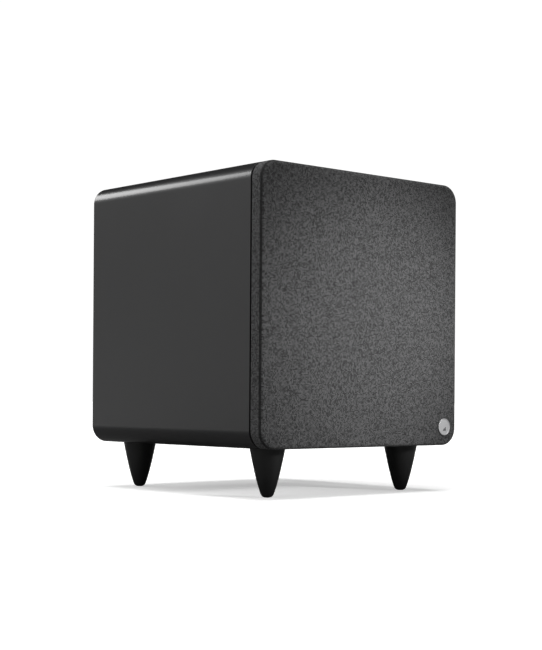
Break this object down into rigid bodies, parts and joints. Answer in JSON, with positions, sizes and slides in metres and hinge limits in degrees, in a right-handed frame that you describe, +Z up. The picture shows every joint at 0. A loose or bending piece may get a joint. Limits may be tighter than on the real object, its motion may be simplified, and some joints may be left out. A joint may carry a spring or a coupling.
{
  "type": "powered subwoofer",
  "caption": "Cube-shaped black powered subwoofer with rounded edges, pull-off cloth grille, front woofer, passive radiator below, rear amplifier plate and cone feet.",
  "frame": {"origin": "on the floor, under the centre of the object's bounding box", "axes": "+Z up, the grille faces -Y, +X is to the right of someone who faces the grille"},
  "size_m": [0.278, 0.2976, 0.327],
  "materials": {
    "satin_black_lacquer": "fibreboard under smooth satin black lacquer, semi-gloss",
    "black_board": "fibreboard painted matt black",
    "raw_fibreboard": "bare medium-density fibreboard, machined",
    "foot_black": "turned and polished, satin black",
    "grille_cloth": "fine open weave of charcoal polyester, stretched",
    "moulded_black": "fine sparked mould texture",
    "badge_silver": "fine brushed face with a bright turned rim",
    "cast_basket": "pressed steel with black powder coat",
    "paper_cone": "pulp cone, dyed black, slightly rough",
    "black_rubber": "smooth matt moulded rubber",
    "ferrite": "ground dark grey ferrite",
    "zinc_steel": "bright zinc plating",
    "copper": "enamelled copper wire",
    "doped_cloth": "resin-stiffened woven cloth",
    "white_wadding": "fluffy polyester fibre",
    "circuit_green": "green solder mask on glass-epoxy board",
    "black_anodised": "fine-grained black anodised",
    "led_blue": "clear tinted lens"
  },
  "bodies": {
    "cabinet": {"cabinet_wrap": "satin_black_lacquer", "front_baffle": "black_board", "rear_panel": "black_board", "brace": "raw_fibreboard", "woofer_basket": "cast_basket", "woofer_gasket": "black_rubber", "woofer_surround": "black_rubber", "woofer_spider": "doped_cloth", "woofer_top_plate": "zinc_steel", "woofer_magnet": "ferrite", "woofer_yoke": "zinc_steel", "woofer_terminals": "moulded_black", "radiator_frame": "cast_basket", "radiator_surround": "black_rubber", "amp_plate": "black_anodised", "amp_board": "circuit_green", "heatsink": "black_anodised", "transformer": "copper", "status_led": "led_blue", "volume_pot": "zinc_steel", "crossover_pot": "zinc_steel", "phase_switch": "zinc_steel", "mode_switch": "zinc_steel", "power_switch": "moulded_black", "power_inlet": "moulded_black", "input_sockets": "moulded_black", "speaker_lead": "black_rubber", "wadding": "white_wadding", "foot_front_left": "foot_black", "foot_front_right": "foot_black", "foot_rear_left": "foot_black", "foot_rear_right": "foot_black", "foot_stud_front_left": "zinc_steel", "foot_stud_front_right": "zinc_steel", "foot_stud_rear_left": "zinc_steel", "foot_stud_rear_right": "zinc_steel", "woofer_screw_1": "zinc_steel", "woofer_screw_2": "zinc_steel", "woofer_screw_3": "zinc_steel", "woofer_screw_4": "zinc_steel", "woofer_screw_5": "zinc_steel", "woofer_screw_6": "zinc_steel", "grille_socket_top_left": "black_rubber", "grille_socket_top_right": "black_rubber", "grille_socket_bottom_left": "black_rubber", "grille_socket_bottom_right": "black_rubber"},
    "grille": {"grille_frame": "moulded_black", "grille_cloth": "grille_cloth", "badge": "badge_silver"},
    "woofer_moving_parts": {"woofer_cone": "paper_cone", "woofer_dust_cap": "paper_cone", "voice_coil_former": "doped_cloth", "voice_coil_winding": "copper"},
    "radiator_moving_parts": {"radiator_cone": "paper_cone", "radiator_weight": "zinc_steel"},
    "volume_control": {"volume_knob": "moulded_black"},
    "crossover_control": {"crossover_knob": "moulded_black"},
    "phase_control": {"phase_slider": "moulded_black"},
    "mode_control": {"mode_slider": "moulded_black"},
    "power_control": {"power_rocker": "moulded_black"}
  },
  "joints": [
    {"name": "grille_pull", "type": "slide", "parent": "cabinet", "child": "grille", "axis": [0, -1, 0], "range_m": [0, 0.04]},
    {"name": "woofer_travel", "type": "slide", "parent": "cabinet", "child": "woofer_moving_parts", "axis": [0, -1, 0], "range_m": [-0.008, 0.008], "stiffness_N_per_m": 3000, "deforming": ["woofer_surround", "woofer_spider"]},
    {"name": "radiator_travel", "type": "slide", "parent": "cabinet", "child": "radiator_moving_parts", "axis": [0, 0, -1], "range_m": [-0.01, 0.01], "stiffness_N_per_m": 3000, "deforming": ["radiator_surround"]},
    {"name": "volume_turn", "type": "hinge", "parent": "cabinet", "child": "volume_control", "pos_m": [0.058, 0.13435, 0.25], "axis": [0, 1, 0], "range_deg": [-150, 150]},
    {"name": "crossover_turn", "type": "hinge", "parent": "cabinet", "child": "crossover_control", "pos_m": [0.008, 0.13435, 0.25], "axis": [0, 1, 0], "range_deg": [-150, 150]},
    {"name": "phase_slide", "type": "slide", "parent": "cabinet", "child": "phase_control", "axis": [1, 0, 0], "range_m": [0, 0.004]},
    {"name": "mode_slide", "type": "slide", "parent": "cabinet", "child": "mode_control", "axis": [1, 0, 0], "range_m": [0, 0.004]},
    {"name": "power_rock", "type": "hinge", "parent": "cabinet", "child": "power_control", "pos_m": [-0.012, 0.13485, 0.122], "axis": [-1, 0, 0], "range_deg": [0, 16]}
  ],
  "couplings": [
    {"joint": "radiator_travel", "follows": "woofer_travel", "ratio": -1}
  ]
}
